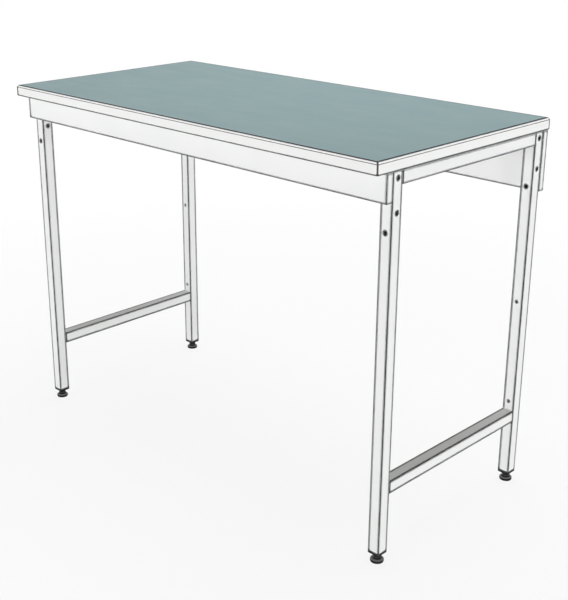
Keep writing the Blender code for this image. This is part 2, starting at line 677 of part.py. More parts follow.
def make_feet(bench):
    """A plug, a nut, a stud and a pad under each leg. The empty of each foot is on the stud's axis."""
    plug = plug_mesh()
    nut = foot_nut_mesh()
    stud = stud_mesh()
    pad = pad_mesh()
    for corner, (x, y) in LEG_PLACES.items():
        axis = anchor("foot_axis_" + corner, (x, y, 0.0), bench)
        piece("leg_plug_" + corner, plug, "black_plastic", axis)
        piece("foot_nut_" + corner, nut, "zinc_plate", axis)
        piece("foot_stud_" + corner, stud, "blackened_steel", axis)
        piece("foot_pad_" + corner, pad, "black_plastic", axis)


def main():
    clear_scene()
    bench = anchor("lab_bench", (0.0, 0.0, 0.0))
    make_worktop(bench)
    make_legs(bench)
    make_side_rails(bench)
    make_aprons(bench)
    make_front_bolts(bench)
    make_rear_bolts(bench)
    make_worktop_screws(bench)
    make_feet(bench)


main()
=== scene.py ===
# %% [markdown]
# # Dressing a laboratory bench
# The bench is a laminated worktop on a frame of square steel tube. Folded aprons tie the frame together
# at the front and at the back, and a levelling foot stands under each leg. The solids of all its pieces
# are packed already. This lesson loads them as a fixed frame, models finer pieces in the same places
# with Blender's own operators, and gives every piece a finish made of nodes. All sizes are in metres.

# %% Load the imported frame
import math

import bmesh
import bpy
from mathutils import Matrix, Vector


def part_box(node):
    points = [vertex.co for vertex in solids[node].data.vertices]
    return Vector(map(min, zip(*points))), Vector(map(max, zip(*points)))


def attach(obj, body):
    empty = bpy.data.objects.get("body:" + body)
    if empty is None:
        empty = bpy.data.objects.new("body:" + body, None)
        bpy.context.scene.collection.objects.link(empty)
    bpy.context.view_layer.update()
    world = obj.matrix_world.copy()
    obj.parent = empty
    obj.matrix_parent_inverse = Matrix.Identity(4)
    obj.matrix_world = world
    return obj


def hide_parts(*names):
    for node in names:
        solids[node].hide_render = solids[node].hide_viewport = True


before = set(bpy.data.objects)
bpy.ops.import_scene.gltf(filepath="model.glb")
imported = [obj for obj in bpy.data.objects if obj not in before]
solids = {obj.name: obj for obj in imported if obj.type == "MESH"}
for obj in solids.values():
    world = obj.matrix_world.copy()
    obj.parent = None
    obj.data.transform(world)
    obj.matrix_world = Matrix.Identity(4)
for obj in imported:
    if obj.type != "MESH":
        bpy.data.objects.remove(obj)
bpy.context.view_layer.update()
bpy.ops.object.select_all(action="DESELECT")

# %% [markdown]
# ## The camera
# The picture looks down on the front right corner of the bench from about 2.8 m away. A camera could be
# set by eye, but then every edge would have to be judged by eye as well. Its place, tilt and lens were
# worked out from the straight edges of the bench instead, so each edge falls where the picture has it.
# The small shift is there because the bench isn't quite in the middle of the picture.

# %% Add the camera
CAMERA_PLACE = (1.8597, -1.8622, 1.3826)
CAMERA_TURN = (70.5747, 0.0269, 45.0530)  # degrees: tilt, roll and heading
CAMERA_LENS = 66.10
CAMERA_SENSOR = 36.0
CAMERA_SHIFT = (0.03764, -0.04171)

bpy.ops.object.camera_add(location=CAMERA_PLACE, rotation=[math.radians(a) for a in CAMERA_TURN])
camera = bpy.context.active_object
camera.name = "picture_camera"
camera.data.sensor_width = CAMERA_SENSOR
camera.data.lens = CAMERA_LENS
camera.data.shift_x, camera.data.shift_y = CAMERA_SHIFT
bpy.context.scene.camera = camera

# %% [markdown]
# ## Small tools for finishes
# A finish is a tree of nodes. Adding, setting and wiring a node takes several lines by hand, so one helper
# does all three: a plain value fills a socket, and another node's output is linked to it. The others are
# short ways to common nodes, and to node groups, which are small effects that several finishes share. As
# Blender's operators work on what is selected, these work on the tree that was opened last.

# %% Node helpers
tree = None


def open_tree(started):
    """Makes this the tree that nodes are added to."""
    global tree
    tree = started


def add(kind, feeds=None, **settings):
    """Adds a shader node. Each feed is a value for a socket, or another node's output to link to it."""
    made = tree.nodes.new("ShaderNode" + kind)
    for key, value in settings.items():
        setattr(made, key, value)
    for key, value in (feeds or {}).items():
        if isinstance(value, bpy.types.NodeSocket):
            tree.links.new(value, made.inputs[key])
        else:
            made.inputs[key].default_value = value
    return made


def calc(operation, *values):
    """Does a sum on values or sockets and returns the result's socket."""
    return add("Math", dict(enumerate(values)), operation=operation).outputs[0]


def calc_vector(operation, *values, output="Vector"):
    """Does a sum on vectors and returns the result's socket."""
    return add("VectorMath", dict(enumerate(values)), operation=operation).outputs[output]


def split(vector):
    """The sockets of a vector's three parts."""
    return add("SeparateXYZ", {0: vector}).outputs


def mix(share, first, second):
    """Mixes two colours and returns the mixed colour's socket."""
    return add("Mix", {0: share, 6: first, 7: second}, data_type="RGBA").outputs[2]


def remap(value, start, end, low=0.0, high=1.0):
    """Stretches a value from one range to another and returns the socket."""
    return add("MapRange", {0: value, 1: start, 2: end, 3: low, 4: high}).outputs[0]


def noise(place, scale, detail=2.0, rough=0.5):
    """Cloudy noise at this many lumps a metre. Returns the value's socket."""
    feeds = {"Vector": place, "Scale": scale, "Detail": detail, "Roughness": rough}
    return add("TexNoise", feeds).outputs[0]


def new_group(name, vectors, values, results):
    """Starts a node group. Returns what it is given and what it has to put out."""
    open_tree(bpy.data.node_groups.new(name, "ShaderNodeTree"))
    sockets = [(label, "INPUT", "Vector") for label in vectors]
    sockets += [(label, "INPUT", "Float") for label in values]
    sockets += [(label, "OUTPUT", "Float") for label in results]
    for label, way, kind in sockets:
        tree.interface.new_socket(name=label, in_out=way, socket_type="NodeSocket" + kind)
    return tree.nodes.new("NodeGroupInput").outputs, tree.nodes.new("NodeGroupOutput").inputs


def use(group, **feeds):
    """Places a node group and returns its outputs."""
    return add("Group", feeds, node_tree=group).outputs


def new_finish(name, roughness, **constant):
    """Starts a material. Returns it with the places on the object."""
    material = bpy.data.materials.new(name)
    material.use_nodes = True
    open_tree(material.node_tree)
    shader = tree.nodes["Principled BSDF"]
    shader.inputs["Roughness"].default_value = roughness
    for key, value in constant.items():
        shader.inputs[key.replace("_", " ")].default_value = value
    return material, add("TexCoord").outputs["Object"]


def wire(colour, gloss=None, height=None, strength=0.0, depth=0.0):
    """Links a colour to the shader, and a roughness and the height of a bump where they are given."""
    feeds = {"Base Color": colour}
    if gloss is not None:
        feeds["Roughness"] = gloss
    if height is not None:
        bump = {"Strength": strength, "Distance": depth, "Height": height}
        feeds["Normal"] = add("Bump", bump).outputs[0]
    for key, socket in feeds.items():
        tree.links.new(socket, tree.nodes["Principled BSDF"].inputs[key])


print("node helpers ready")

# %% [markdown]
# ## Effects that several finishes share
# Coating draws away from an edge while it is baked, and hands and boxes rub it further, so every edge of
# the frame reads as a thin dark line beside its pale flats. The wear effect finds edges in two ways. A flat
# face looks straight along an axis, and a rounded corner doesn't. On the flats a Bevel node blends the
# directions of all faces within reach. The line is wider along lower edges: beside such an edge the blended
# direction dips below the level. Two noises make the border of the line ragged. The peel effect gives the
# dimples of baked powder. The dust-and-shading effect finds what faces up and marks it for dust, and for
# painted shade on the coat and painted light on the pads. The scuff effect gives faint cloudy marks that
# change only the gloss.

# %% Edge wear, peel, dust-and-shading and scuff groups
NOISE_SPAN = (0.3, 0.7)  # where most values of a noise lie
FLAT_TO_CORNER = (0.999, 0.950)  # largest part of a direction, on a flat and on a rounded corner
FLAT_TO_EDGE = (0.999, 0.975)  # likeness of the blended and the true direction, on a flat and at an edge
DIP, DIP_SHARE = (0.01, 0.05), 0.5  # beside a lower edge
CHIP_LUMPS, CHIP_SHARE = 420.0, 0.25
RUB_LUMPS, RUB_SHARE = 16.0, 0.15
WORN = (0.49, 0.54)  # where wear begins and where it is full
CLOUD_LUMPS = 7.0
FACING_UP = (0.45, 0.95)
DUST_LUMPS, THIN_DUST = 900.0, 0.7
WIPE_TURN, WIPE_SCALE = (0.0, 0.0, 0.4), (3.0, 9.0, 9.0)

given, made = new_group("edge_wear", ("Facing", "Place"), ("Reach",), ("Wear",))
x, y, z = split(calc_vector("ABSOLUTE", given["Facing"]))
flattest = calc("MAXIMUM", calc("MAXIMUM", x, y), z)
corner = remap(flattest, *FLAT_TO_CORNER)
blended = add("Bevel", {"Radius": given["Reach"]}, samples=16).outputs[0]
straight = add("NewGeometry").outputs["Normal"]
alike = calc_vector("DOT_PRODUCT", blended, straight, output="Value")
near = calc("MAXIMUM", corner, remap(alike, *FLAT_TO_EDGE))
rise, blended_rise = [split(way)[2] for way in (straight, blended)]
drop = calc("SUBTRACT", rise, blended_rise)
below = calc("SUBTRACT", 0.0, blended_rise)
lower_edge_widening = remap(calc("MINIMUM", drop, below), *DIP, 0.0, DIP_SHARE)
chips = noise(given["Place"], CHIP_LUMPS, 6.0, 0.70)
chips = remap(chips, *NOISE_SPAN, -CHIP_SHARE, CHIP_SHARE)
rubs = remap(noise(given["Place"], RUB_LUMPS), *NOISE_SPAN, -RUB_SHARE, RUB_SHARE)
for roughening in (lower_edge_widening, chips, rubs):
    near = calc("ADD", near, roughening)
tree.links.new(remap(near, *WORN), made["Wear"])
edge_wear = tree

given, made = new_group("powder_peel", ("Place",), ("Lumps",), ("Height", "Tone"))
tree.links.new(noise(given["Place"], given["Lumps"], 1.5), made["Height"])
tree.links.new(noise(given["Place"], CLOUD_LUMPS), made["Tone"])
powder_peel = tree

# What faces up gets dust and painted shading: painted shade on the coat, painted light on the pads.
given, made = new_group("dust_and_top_shading", ("Facing", "Place"), (), ("DustAndShading",))
facing_up = remap(split(given["Facing"])[2], *FACING_UP)
grains = remap(noise(given["Place"], DUST_LUMPS, 3.0), *NOISE_SPAN, THIN_DUST, 1.0)
tree.links.new(calc("MULTIPLY", facing_up, grains), made["DustAndShading"])
dust_and_top_shading = tree

given, made = new_group("wiped_scuffs", ("Place",), ("Least", "Most"), ("Gloss",))
drawn = add("Mapping", {0: given["Place"], 2: WIPE_TURN, 3: WIPE_SCALE}).outputs[0]
marks = noise(drawn, 2.2, 5.0, 0.62)
tree.links.new(remap(marks, *NOISE_SPAN, given["Least"], given["Most"]), made["Gloss"])
wiped_scuffs = tree
print("shared effects:", [group.name for group in bpy.data.node_groups])

# %% [markdown]
# ## Powder coat
# The frame and the aprons are steel under a pale satin powder coat. Paint could be one flat colour, but
# baked powder has fine dimples and a cloudy tone, its edges are worn, and what faces up is grey, as dust and
# as painted shade.
# Each of these is a layer of the finish, with the wear last, because hands rub the dust off an edge. Close
# under the worktop little rubs, so the wear is weaker there. Along two opposite edges of each leg and lower
# rail, and along one upright edge of each apron, the wear reaches further. The product of a point's two
# distances from the middle finds such an edge, because it is largest there. The welds get the coat without
# the wear, because a bead has no edge.

# %% Powder coat
COAT_COLOUR = (0.815, 0.820, 0.815, 1.0)
COAT_CLOUDY = (0.790, 0.796, 0.794, 1.0)
COAT_WORN_EDGE = (0.036, 0.037, 0.039, 1.0)
# The grey of upper faces: dust, and painted shade.
COAT_DUST_AND_SHADE = (0.430, 0.425, 0.412, 1.0)
COAT_DUST_AND_SHADE_SHARE = 0.62
COAT_ROUGHNESS = 0.42
COAT_WIPED, COAT_SCUFFED = 0.37, 0.49  # roughness
COAT_WEAR_REACH = 0.0058  # from an edge onto the flat beside it
WORN_MATT = 0.45  # how much rougher a worn edge is
PEEL_LUMPS = 420.0
SHELTERED = 0.0040  # under the worktop, where little rubs
SHELTERED_SHARE = 0.55
CORNER_TUBE_REACH = 0.0110  # along two opposite edges, where the line is wider
CORNER_APRON_REACH = 0.0100
CORNER_TUBE_ZONE = (0.50, 0.66)  # shares of the product of distances at the corner itself
CORNER_END_ZONE = (0.98, 0.99)
frame_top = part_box("leg_front_right")[1].z


def wider_near_corners(first, second, corner, zone, usual, longest):
    """How far wear reaches: further where the product of two distances comes near its value at a corner."""
    start, end = [share * corner for share in zone]
    return remap(calc("MULTIPLY", first, second), start, end, usual, longest)


def tube_reach(one, opposite, across, hand):
    """The reach on a pair of tubes, longer along two opposite edges. X and across are square to them."""
    low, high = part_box(one)
    axis, other = (low + high) / 2, sum(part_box(opposite), Vector()) / 2
    corner = hand * (high - axis).x * (high - axis)[across]

    def reach(here):
        centred = calc_vector("SUBTRACT", here, (axis + other) / 2)
        side = calc_vector("SIGN", centred)
        nearest = calc_vector("MULTIPLY", side, (axis - other) / 2)
        offset = split(calc_vector("SUBTRACT", centred, nearest))
        ends = (COAT_WEAR_REACH, CORNER_TUBE_REACH)
        return wider_near_corners(offset[0], offset[across], corner, CORNER_TUBE_ZONE, *ends)

    return reach


def apron_reach(corner):
    """The reach on an apron, longer at this corner."""
    def reach(here):
        x, y, _ = split(here)
        ends = (COAT_WEAR_REACH, CORNER_APRON_REACH)
        return wider_near_corners(x, y, corner.x * corner.y, CORNER_END_ZONE, *ends)

    return reach


def powder_coat(name, wear_reach=None):
    """The coat, with worn edges where a rule for their reach is given."""
    material, here = new_finish(name, COAT_ROUGHNESS, Specular_IOR_Level=0.30)
    facing = add("TexCoord").outputs["Normal"]
    peel = use(powder_peel, Place=here, Lumps=PEEL_LUMPS)
    colour = mix(remap(peel["Tone"], *NOISE_SPAN), COAT_COLOUR, COAT_CLOUDY)
    # Upper faces turn grey, as dust and as painted shade.
    dust_and_shading = use(dust_and_top_shading, Facing=facing, Place=here)["DustAndShading"]
    colour = mix(calc("MULTIPLY", dust_and_shading, COAT_DUST_AND_SHADE_SHARE), colour, COAT_DUST_AND_SHADE)
    gloss = use(wiped_scuffs, Place=here, Least=COAT_WIPED, Most=COAT_SCUFFED)["Gloss"]
    if wear_reach:
        wear = use(edge_wear, Facing=facing, Place=here, Reach=wear_reach(here))["Wear"]
        height = split(here)[2]
        rubbed = remap(height, frame_top - SHELTERED, frame_top, 1.0, SHELTERED_SHARE)
        colour = mix(calc("MULTIPLY", wear, rubbed), colour, COAT_WORN_EDGE)
        gloss = calc("MULTIPLY_ADD", wear, WORN_MATT, gloss)
    wire(colour, gloss, peel["Height"], strength=0.35, depth=0.0006)
    return material


coat = powder_coat("pale_powder_coat_finish", lambda here: COAT_WEAR_REACH)
rail_coat = powder_coat("lower_rail_coat_finish", tube_reach("lower_rail_right", "lower_rail_left", 2, -1.0))
leg_coat = powder_coat("leg_coat_finish", tube_reach("leg_rear_right", "leg_front_left", 1, 1.0))
front_coat = powder_coat("front_apron_coat_finish", apron_reach(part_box("front_apron")[0]))
rear_coat = powder_coat("rear_apron_coat_finish", apron_reach(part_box("rear_apron")[1]))
weld_coat = powder_coat("weld_coat_finish")
print("made", [finish.name for finish in (coat, rail_coat, leg_coat, front_coat, rear_coat, weld_coat)])

# %% [markdown]
# ## Worktop finishes
# The top is a sheet of hard laminate with a matt blue-green decor. Close to, such a decor is a print of
# fine flecks under a pebbled surface, so the finish mixes three close tones and adds a very fine bump.
# The sheet is pressed from brown paper, which shows as a thin dark line where its edge is cut. The
# lipping is extruded plastic with faint lines along its length, and years of wiping have left grime along
# its edges. The wear effect draws that too, with a shorter reach, which grows towards the lower edge and
# at two opposite corners of the worktop. The sheet under the board is plain white.
# The board itself is pressed wood chips, which only a screw ever sees.

# %% Laminate and its core
TEAL = (0.252, 0.352, 0.364, 1.0)
TEAL_LIGHT = (0.285, 0.388, 0.398, 1.0)
TEAL_DEEP = (0.205, 0.297, 0.310, 1.0)
CORE_BROWN = (0.020, 0.018, 0.016, 1.0)
CORE_PALER = (0.042, 0.037, 0.033, 1.0)

laminate_finish, here = new_finish("teal_laminate_finish", 0.58, Specular_IOR_Level=0.15)
print_grain = noise(here, 260.0, 4.0, 0.6)
print_cloud = noise(here, 9.0, 3.0, 0.55)
colour = mix(remap(print_grain, 0.36, 0.64), TEAL_DEEP, TEAL)
colour = mix(remap(print_cloud, 0.35, 0.70, 0.38, 0.54), colour, TEAL_LIGHT)
gloss = use(wiped_scuffs, Place=here, Least=0.52, Most=0.66)["Gloss"]
pebbles = noise(here, 1400.0, 1.0)
wire(colour, gloss, pebbles, strength=0.15, depth=0.0002)

core_finish, here = new_finish("laminate_core_finish", 0.85, Specular_IOR_Level=0.10)
wire(mix(noise(here, 500.0, 3.0), CORE_BROWN, CORE_PALER))
print("made", laminate_finish.name, "and", core_finish.name)

# %% Lipping and its grimy edges
LIPPING_COLOUR = (0.835, 0.838, 0.830, 1.0)
LIPPING_SHADE = (0.805, 0.808, 0.802, 1.0)
LIPPING_GRIME = (0.055, 0.055, 0.054, 1.0)
LIPPING_THIN_GRIME = (0.115, 0.115, 0.112, 1.0)
LIPPING_WEAR_REACH = 0.0033
LOWER_WEAR_REACH = 0.0052  # along the lower edge
LOWER_ZONE = (0.003, 0.005)  # above the lower edge, where the reach changes
WIDE_CORNER_REACH = 0.0075
DIE_LINES = (3.0, 3.0, 1100.0)  # lines a metre along each axis

lipping_finish, here = new_finish("pale_lipping_finish", 0.40, Specular_IOR_Level=0.30)
lengthwise = add("Mapping", {0: here, 3: DIE_LINES}).outputs[0]
die_lines = noise(lengthwise, 1.0, 3.0, 0.6)
colour = mix(remap(die_lines, 0.35, 0.65), LIPPING_COLOUR, LIPPING_SHADE)
x, y, height = split(here)
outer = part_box("lipping_front")[0]
start, end = [outer.z + rise for rise in LOWER_ZONE]
reach = remap(height, start, end, LOWER_WEAR_REACH, LIPPING_WEAR_REACH)
wide_corner = wider_near_corners(x, y, outer.x * outer.y, CORNER_END_ZONE, 0.0, WIDE_CORNER_REACH)
reach = calc("MAXIMUM", reach, wide_corner)
wear = use(edge_wear, Facing=(0.0, 0.0, 1.0), Place=here, Reach=reach)["Wear"]
gloss = calc("MULTIPLY_ADD", wear, WORN_MATT, remap(die_lines, *NOISE_SPAN, 0.34, 0.46))
colour = mix(wear, colour, LIPPING_GRIME)
wire(colour, gloss, die_lines, strength=0.08, depth=0.0002)

edge_finish, here = new_finish("scraped_lipping_finish", 0.85, Specular_IOR_Level=0.10)
grime = remap(noise(here, 70.0, 4.0, 0.6), *NOISE_SPAN)
wire(mix(grime, LIPPING_GRIME, LIPPING_THIN_GRIME))
print("made", lipping_finish.name, "and", edge_finish.name)

# %% Backing sheet and chipboard
BACKING_WHITE = (0.780, 0.782, 0.772, 1.0)
BACKING_SHADE = (0.735, 0.738, 0.730, 1.0)
CHIP_LIGHT = (0.560, 0.400, 0.240, 1.0)
CHIP_DARK = (0.330, 0.215, 0.120, 1.0)

backing_finish, here = new_finish("white_backing_finish", 0.55)
colour = mix(noise(here, 14.0, 4.0, 0.6), BACKING_WHITE, BACKING_SHADE)
pebbles = noise(here, 1200.0, 1.0)
wire(colour, None, pebbles, strength=0.15, depth=0.0002)

chip_finish, here = new_finish("chipboard_finish", 0.88)
chips = add("TexVoronoi", {"Vector": here, "Scale": 320.0}).outputs
chip_tone = add("SeparateColor", {0: chips["Color"]}).outputs[0]
colour = mix(chip_tone, CHIP_LIGHT, CHIP_DARK)
wire(colour, None, chips["Distance"], strength=0.3, depth=0.0004)
print("made", backing_finish.name, "and", chip_finish.name)

# %% [markdown]
# ## Fittings
# The plugs and pads of the feet are moulded black plastic with a fine matt texture. What faces up is
# painted a paler grey, as dust and as painted light on the tops of the pads, which lie in the plugs' shadow.
# The studs are blackened steel with a cloudy film of oil. Bolts, nuts and strips are zinc plated, with the
# soft cloudy tone that a plating bath leaves. One colour each would look like toy parts, so each mixes two
# tones, and the gloss changes with them.

# %% Plastic, blackened steel and zinc
PLASTIC_BLACK = (0.006, 0.006, 0.007, 1.0)
PLASTIC_PALER = (0.011, 0.011, 0.012, 1.0)
# The paler grey of upper faces: dust, and painted light on the pad tops in the plugs' shadow.
PLASTIC_DUST_AND_LIGHT = (0.270, 0.268, 0.264, 1.0)
PLASTIC_DUST_AND_LIGHT_SHARE = 0.90
STEEL_BLACK = (0.012, 0.012, 0.013, 1.0)
STEEL_PALER = (0.034, 0.034, 0.036, 1.0)
ZINC_DULL = (0.540, 0.555, 0.570, 1.0)
ZINC_BRIGHT = (0.680, 0.690, 0.690, 1.0)

plastic_finish, here = new_finish("black_plastic_finish", 0.46, Specular_IOR_Level=0.10)
facing = add("TexCoord").outputs["Normal"]
# Upper faces turn paler, as dust and as painted light where the plug shades the pad.
dust_and_shading = use(dust_and_top_shading, Facing=facing, Place=here)["DustAndShading"]
colour = mix(noise(here, 60.0, 3.0), PLASTIC_BLACK, PLASTIC_PALER)
colour = mix(calc("MULTIPLY", dust_and_shading, PLASTIC_DUST_AND_LIGHT_SHARE), colour, PLASTIC_DUST_AND_LIGHT)
gloss = remap(dust_and_shading, 0.0, 1.0, 0.42, 0.75)
spark = noise(here, 2600.0, 1.0)
wire(colour, gloss, spark, strength=0.25, depth=0.0001)

black_steel, here = new_finish("blackened_steel_finish", 0.38, Metallic=0.9)
oil = noise(here, 300.0, 3.0)
wire(mix(oil, STEEL_BLACK, STEEL_PALER), remap(oil, *NOISE_SPAN, 0.30, 0.48))

zinc_finish, here = new_finish("zinc_plate_finish", 0.32, Metallic=1.0)
bath = noise(here, 350.0, 4.0, 0.6)
wire(mix(bath, ZINC_DULL, ZINC_BRIGHT), remap(bath, *NOISE_SPAN, 0.24, 0.42))
print("made", [finish.name for finish in (plastic_finish, black_steel, zinc_finish)])

# %% [markdown]
# ## Small tools for modelling
# Every piece starts as a primitive at its size and place, and is then shaped by operators. An operator
# works on whatever is selected, so each helper selects just one thing first. Faces and edges are found
# by a test, such as which way they face, in place of a click.

# %% Modelling helpers
TINY = 1e-5  # closer than this is the same place
FLAT = 0.999  # a face whose direction has this much along an axis looks straight along it


def only(piece):
    """Makes one piece active and selected, and nothing else."""
    bpy.ops.object.select_all(action="DESELECT")
    piece.select_set(True)
    bpy.context.view_layer.objects.active = piece


def done():
    """Leaves edit mode."""
    bpy.ops.object.mode_set(mode="OBJECT")


def edit(piece, kind, test, operator, **settings):
    """Runs an operator on the vertices, edges or faces that pass the test, and returns how many did."""
    only(piece)
    bpy.ops.object.mode_set(mode="EDIT")
    bpy.ops.mesh.select_mode(type=kind)
    bpy.ops.mesh.select_all(action="DESELECT")
    shape = bmesh.from_edit_mesh(piece.data)
    parts = {"VERT": shape.verts, "EDGE": shape.edges, "FACE": shape.faces}[kind]
    found = [part for part in parts if test(part)]
    for part in found:
        part.select_set(True)
    bmesh.update_edit_mesh(piece.data)
    operator(**settings)
    done()
    return len(found)


def settle_in_mesh(piece):
    """Puts the object at the origin, with its place in its mesh."""
    only(piece)
    bpy.ops.object.transform_apply(location=True, rotation=True, scale=True)


def halfway(low, high):
    """The middle of a box."""
    return [(start + end) / 2 for start, end in zip(low, high)]


def block(name, low, high):
    """A cube stretched between two corners."""
    low, high = Vector(low), Vector(high)
    bpy.ops.mesh.primitive_cube_add(size=1.0, location=(low + high) / 2, scale=high - low)
    piece = bpy.context.active_object
    piece.name = name
    settle_in_mesh(piece)
    return piece


def rod(start, end, diameter, corners=32):
    """A cylinder between two points."""
    start, end = Vector(start), Vector(end)
    turn = (end - start).to_track_quat("Z", "Y").to_euler()
    bpy.ops.mesh.primitive_cylinder_add(
        vertices=corners, radius=diameter / 2, depth=(end - start).length,
        location=(start + end) / 2, rotation=turn,
    )
    piece = bpy.context.active_object
    settle_in_mesh(piece)
    return piece


def join(pieces, name):
    """Joins pieces into one object."""
    only(pieces[0])
    for piece in pieces:
        piece.select_set(True)
    bpy.ops.object.join()
    pieces[0].name = name
    return pieces[0]


def run(edge, axis):
    """How far an edge runs along an axis: 0, 1 or 2 for X, Y or Z."""
    return abs((edge.verts[0].co - edge.verts[1].co)[axis])


def bevel(piece, test, width, steps, **settings):
    """Bevels the edges that pass the test and returns how many there were."""
    settings.update(offset=width, segments=steps, affect="EDGES")
    return edit(piece, "EDGE", test, bpy.ops.mesh.bevel, **settings)


def trim(piece, place, outward):
    """Cuts off what lies beyond a plane and closes the cut."""
    plane = {"plane_co": place, "plane_no": Vector(outward).normalized()}
    edit(piece, "FACE", lambda face: True, bpy.ops.mesh.bisect, use_fill=True, clear_outer=True, **plane)


def second_finish(piece, test):
    """Gives the faces that pass the test the piece's second finish and returns how many there are."""
    piece.active_material_index = 1
    return edit(piece, "FACE", test, bpy.ops.object.material_slot_assign)


def modify(piece, kind, **settings):
    """Adds a modifier, sets it and applies it."""
    only(piece)
    bpy.ops.object.modifier_add(type=kind)
    change = piece.modifiers[-1]
    for key, value in settings.items():
        setattr(change, key, value)
    bpy.ops.object.modifier_apply(modifier=change.name)


def shell(piece, test, wall):
    """Takes away the faces that pass the test and gives the others a wall."""
    edit(piece, "FACE", test, bpy.ops.mesh.delete, type="ONLY_FACE")
    modify(piece, "SOLIDIFY", thickness=wall, offset=-1.0, use_even_offset=True)


def carve(piece, tool, operation="DIFFERENCE"):
    """Cuts a tool out of a piece, or joins it on, and throws the tool away."""
    modify(piece, "BOOLEAN", operation=operation, solver="EXACT", object=tool)
    bpy.data.objects.remove(tool, do_unlink=True)


def smooth(piece, degrees=35.0):
    """Shades round places smooth and keeps flat faces flat."""
    only(piece)
    bpy.ops.object.shade_smooth_by_angle(angle=math.radians(degrees))
    modify(piece, "WEIGHTED_NORMAL", keep_sharp=True)


def copy_of(piece, name, move=(0.0, 0.0, 0.0), turn=0.0):
    """A copy with its own mesh, turned about the middle of the bench and moved."""
    only(piece)
    bpy.ops.object.duplicate(linked=False)
    made = bpy.context.active_object
    made.name = name
    made.rotation_euler = (0.0, 0.0, turn)
    made.location = move
    settle_in_mesh(made)
    return made


def dress(piece, finish, slot, body, *stands_for):
    """Gives a piece its finish and its body, and hides the solid that it stands for."""
    if not piece.data.materials:
        piece.data.materials.append(finish)
    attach(piece, body)
    if stands_for:
        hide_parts(*stands_for)


print("modelling helpers ready")

# %% [markdown]
# ## Laminate sheet
# The laminate is a sheet under a millimetre thick, glued to the board and trimmed with a router, which
# lays bare its dark core round the edge. A plain plane would show the colour, but not that line. A bevel
# would be too steep to see, so the top is inset by the width of the line and the rim outside the inset is
# lowered a little. The rim and the sides get the core's finish.

# %% Laminate sheet
CORE_DEEP = 0.0003
CORE_WIDE = 0.0024

low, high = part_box("worktop_laminate")
laminate = block("laminate_sheet", low, high)
edit(laminate, "FACE", lambda face: face.normal.z > FLAT, bpy.ops.mesh.inset, thickness=CORE_WIDE)


def on_rim(vertex):
    return vertex.co.z > high.z - TINY and abs(vertex.co.x) > high.x - TINY


edit(laminate, "VERT", on_rim, bpy.ops.transform.translate, value=(0.0, 0.0, -CORE_DEEP))
laminate.data.materials.append(laminate_finish)
laminate.data.materials.append(core_finish)
core_faces = second_finish(laminate, lambda face: abs(face.normal.z) < FLAT)
dress(laminate, laminate_finish, "teal_laminate", "bench", "worktop_laminate")
print("laminate sheet with", core_faces, "faces of core")

# %% [markdown]
# ## Lipping
# Four lengths of plastic lipping close the edges of the board. Their upper outer edge is chamfered and
# their ends are mitred. They could be cut from one ring, but real lipping is glued on in lengths, and the
# mitres are part of its look. One length is a block that three bisecting planes trim. Its edges are then
# bevelled, and the bevels take the grimy finish. The flat strip left between the laminate and the chamfer is
# only half a millimetre wide, so the edges there get a smaller bevel, because a wide one would fold over.
# The rear length is the front one turned half round, and the side lengths are made the same way.

# %% Lipping
LIPPING_THICK = 0.0045
CHAMFER_IN = 0.0040
CHAMFER_DOWN = 0.0050
LIPPING_EDGE = 0.0006
TOP_STRIP_EDGE = 0.0002


def lipping_length(name, length, reach, bottom, top):
    """A length of lipping with its outer face at Y = -reach."""
    piece = block(name, (-length / 2, -reach, bottom), (length / 2, LIPPING_THICK - reach, top))
    trim(piece, (0.0, -reach, top - CHAMFER_DOWN), (0.0, -CHAMFER_DOWN, CHAMFER_IN))
    for side in (-1.0, 1.0):
        trim(piece, (side * length / 2, -reach, top), (side, 1.0, 0.0))
    piece.data.materials.append(lipping_finish)
    piece.data.materials.append(edge_finish)

    def touches_top(edge):
        return any(vertex.co.z > top - TINY for vertex in edge.verts)

    bevel(piece, lambda edge: not touches_top(edge), LIPPING_EDGE, 2, material=1)
    bevel(piece, touches_top, TOP_STRIP_EDGE, 2, material=1)
    second_finish(piece, lambda face: face.normal.z > FLAT)
    smooth(piece, 30.0)
    return piece


low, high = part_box("lipping_front")
front = lipping_length("lipping_length_front", high.x - low.x, -low.y, low.z, high.z)
rear = copy_of(front, "lipping_length_rear", turn=math.pi)
low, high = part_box("lipping_right")
right = lipping_length("lipping_length_right", high.y - low.y, high.x, low.z, high.z)
right.rotation_euler.z = math.pi / 2
settle_in_mesh(right)
left = copy_of(right, "lipping_length_left", turn=math.pi)
for side, piece in (("front", front), ("rear", rear), ("right", right), ("left", left)):
    dress(piece, lipping_finish, "pale_lipping", "bench", "lipping_" + side)
print("four lengths of lipping,", len(front.data.polygons), "faces each")

# %% [markdown]
# ## Board, backing sheet and hidden fittings
# The board is closed in on every side, the backing sheet under it is flat, and the nuts, strips and screws
# are hidden. Their solids have the right shape already, so they stay and only take on a better finish.

# %% Finish for solids that stay
HIDDEN_ZINC = ("front_apron_nut", "nut_strip", "foot_nut", "worktop_screw")

better = {"worktop_board": chip_finish, "worktop_backing": backing_finish}
better.update({name: zinc_finish for name in solids if name.startswith(HIDDEN_ZINC)})
for name, finish in better.items():
    solids[name].material_slots[0].material = finish
print(len(better), "solids kept")

# %% [markdown]
# ## Legs
# Each leg is square tube, drilled through the sides for bolts that join one bench to the next, through
# the front for an apron, and on the inner faces for a side panel. A solid bar with dark dots would look
# right from the picture's side only. The tube is a block with its long edges rounded and its ends opened,
# given a wall, and the holes are bored right through by one Boolean. A front leg and a rear leg are
# modelled, and each is copied to the other side.

# %% Square tube
TUBE_WALL = 0.0015
TUBE_CORNER = 0.0020
HOLE_EASE = 0.0003
RIM_ANGLE = math.radians(60.0)  # a rim is sharper than this


